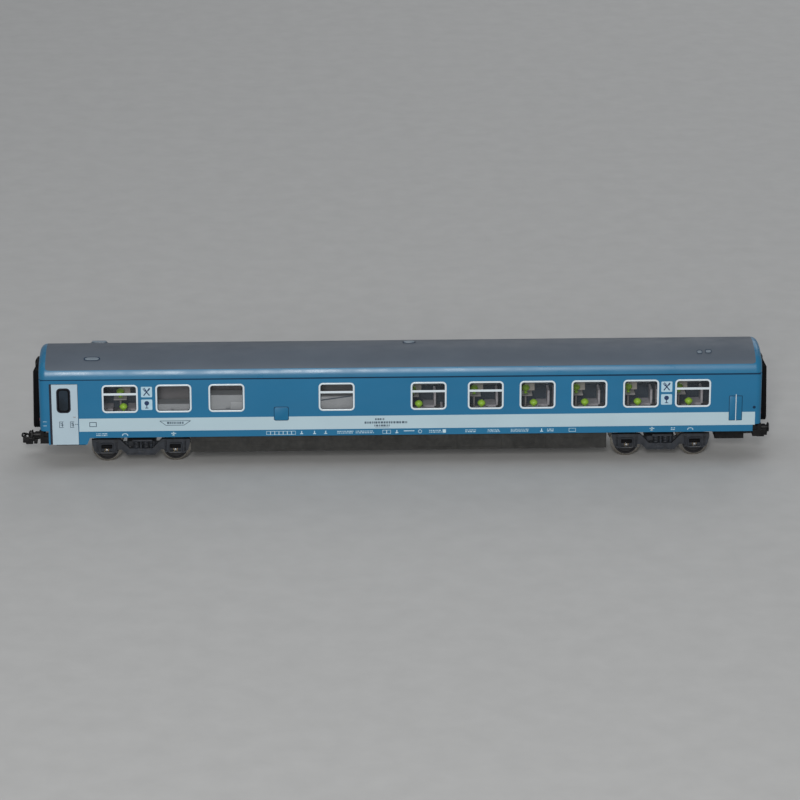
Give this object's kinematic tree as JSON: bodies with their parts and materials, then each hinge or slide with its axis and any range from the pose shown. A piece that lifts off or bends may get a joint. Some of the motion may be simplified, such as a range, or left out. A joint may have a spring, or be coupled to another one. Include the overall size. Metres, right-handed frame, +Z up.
{
  "type": "model passenger coach",
  "caption": "Model bogie passenger coach with window strip, entrance doors, gangway bellows, swivelling bogies with rolling wheelsets and spring-centred sliding couplings.",
  "frame": {"origin": "middle of the coach on the plane that the wheel flanges reach down to", "axes": "+X along the coach towards the end with no entrance door on its near side, +Z up, +Y across the coach"},
  "size_m": [0.2294, 0.0242, 0.0355],
  "materials": {
    "blue_paint": "satin",
    "roof_paint": "satin",
    "roof_fitting": "satin",
    "frame_white": "gloss",
    "clear_glazing": "gloss",
    "dark_glazing": "gloss",
    "door_grey": "satin",
    "seal_rubber": "matte",
    "black_rubber": "matte",
    "gangway_grey": "satin",
    "handle_metal": "polished",
    "underframe_black": "matte",
    "underfloor_grey": "matte",
    "ballast_steel": "plain",
    "buffer_black": "satin",
    "interior_grey": "matte",
    "seat_grey": "matte",
    "table_tan": "satin",
    "lamp_green": "gloss",
    "tail_red": "gloss",
    "bogie_grey": "matte",
    "bearing_brass": "plain",
    "axle_steel": "plain",
    "wheel_dark": "blackened face, bright tread",
    "coupler_black": "satin",
    "coupler_bail_black": "satin"
  },
  "bodies": {
    "coach": {"ballast_bar": "ballast_steel", "body_shell": "blue_paint", "buffer_beams": "underframe_black", "dining_seats": "seat_grey", "dining_tables": "table_tan", "door_handles": "handle_metal", "door_panes": "dark_glazing", "door_seals": "seal_rubber", "entrance_doors": "door_grey", "equipment_box": "underfloor_grey", "front_bellows": "black_rubber", "front_buffers": "buffer_black", "front_coupler_guide": "underframe_black", "gangway_doors": "gangway_grey", "glazing_far": "clear_glazing", "glazing_near": "clear_glazing", "handrails": "handle_metal", "interior_floor": "interior_grey", "kitchen_units": "interior_grey", "pivot_pins": "handle_metal", "rear_bellows": "black_rubber", "rear_buffers": "buffer_black", "rear_coupler_guide": "underframe_black", "roof": "roof_paint", "roof_vents": "roof_fitting", "side_hatches": "blue_paint", "table_lamps": "lamp_green", "tail_lamps": "tail_red", "underfloor_fairings": "underfloor_grey", "underframe": "underframe_black", "window_frames_far": "frame_white", "window_frames_near": "frame_white"},
    "front_bogie": {"front_bogie_frame": "bogie_grey", "front_bearing_cups": "bearing_brass", "front_axlebox_covers": "bogie_grey", "front_bogie_springs": "bogie_grey", "front_brake_blocks": "bogie_grey"},
    "front_outer_wheelset": {"front_outer_axle": "axle_steel", "front_outer_wheels": "wheel_dark"},
    "front_inner_wheelset": {"front_inner_axle": "axle_steel", "front_inner_wheels": "wheel_dark"},
    "front_drawbar": {"front_drawbar": "coupler_black"},
    "front_coupler": {"front_coupler_head": "coupler_black"},
    "front_bail": {"front_coupler_bail": "coupler_bail_black"},
    "rear_bogie": {"rear_bogie_frame": "bogie_grey", "rear_bearing_cups": "bearing_brass", "rear_axlebox_covers": "bogie_grey", "rear_bogie_springs": "bogie_grey", "rear_brake_blocks": "bogie_grey"},
    "rear_outer_wheelset": {"rear_outer_axle": "axle_steel", "rear_outer_wheels": "wheel_dark"},
    "rear_inner_wheelset": {"rear_inner_axle": "axle_steel", "rear_inner_wheels": "wheel_dark"},
    "rear_drawbar": {"rear_drawbar": "coupler_black"},
    "rear_coupler": {"rear_coupler_head": "coupler_black"},
    "rear_bail": {"rear_coupler_bail": "coupler_bail_black"}
  },
  "joints": [
    {"name": "front_bogie_swivel", "type": "hinge", "parent": "coach", "child": "front_bogie", "pos_m": [-0.07917, 0, 0.0066], "axis": [0, 0, 1], "range_deg": [-15, 15]},
    {"name": "front_outer_wheelset_spin", "type": "hinge", "parent": "front_bogie", "child": "front_outer_wheelset", "pos_m": [-0.08958, 0, 0.00473], "axis": [0, 1, 0], "continuous": true},
    {"name": "front_inner_wheelset_spin", "type": "hinge", "parent": "front_bogie", "child": "front_inner_wheelset", "pos_m": [-0.06875, 0, 0.00473], "axis": [0, 1, 0], "continuous": true},
    {"name": "front_drawbar_swing", "type": "hinge", "parent": "coach", "child": "front_drawbar", "pos_m": [-0.0986, 0, 0.006], "axis": [0, 0, 1], "range_deg": [-15, 15], "stiffness_Nm_per_rad": 0.0004},
    {"name": "front_coupler_slide", "type": "slide", "parent": "front_drawbar", "child": "front_coupler", "axis": [1, 0, 0], "range_m": [0, 0.0028]},
    {"name": "front_bail_lift", "type": "hinge", "parent": "front_coupler", "child": "front_bail", "pos_m": [-0.1123, 0, 0.006], "axis": [0, 1, 0], "range_deg": [-3, 25]},
    {"name": "rear_bogie_swivel", "type": "hinge", "parent": "coach", "child": "rear_bogie", "pos_m": [0.07917, 0, 0.0066], "axis": [0, 0, 1], "range_deg": [-15, 15]},
    {"name": "rear_outer_wheelset_spin", "type": "hinge", "parent": "rear_bogie", "child": "rear_outer_wheelset", "pos_m": [0.08958, 0, 0.00473], "axis": [0, 1, 0], "continuous": true},
    {"name": "rear_inner_wheelset_spin", "type": "hinge", "parent": "rear_bogie", "child": "rear_inner_wheelset", "pos_m": [0.06875, 0, 0.00473], "axis": [0, 1, 0], "continuous": true},
    {"name": "rear_drawbar_swing", "type": "hinge", "parent": "coach", "child": "rear_drawbar", "pos_m": [0.0986, 0, 0.006], "axis": [0, 0, 1], "range_deg": [-15, 15], "stiffness_Nm_per_rad": 0.0004},
    {"name": "rear_coupler_slide", "type": "slide", "parent": "rear_drawbar", "child": "rear_coupler", "axis": [1, 0, 0], "range_m": [0, 0.0028]},
    {"name": "rear_bail_lift", "type": "hinge", "parent": "rear_coupler", "child": "rear_bail", "pos_m": [0.1095, 0, 0.006], "axis": [0, -1, 0], "range_deg": [-3, 25]}
  ]
}
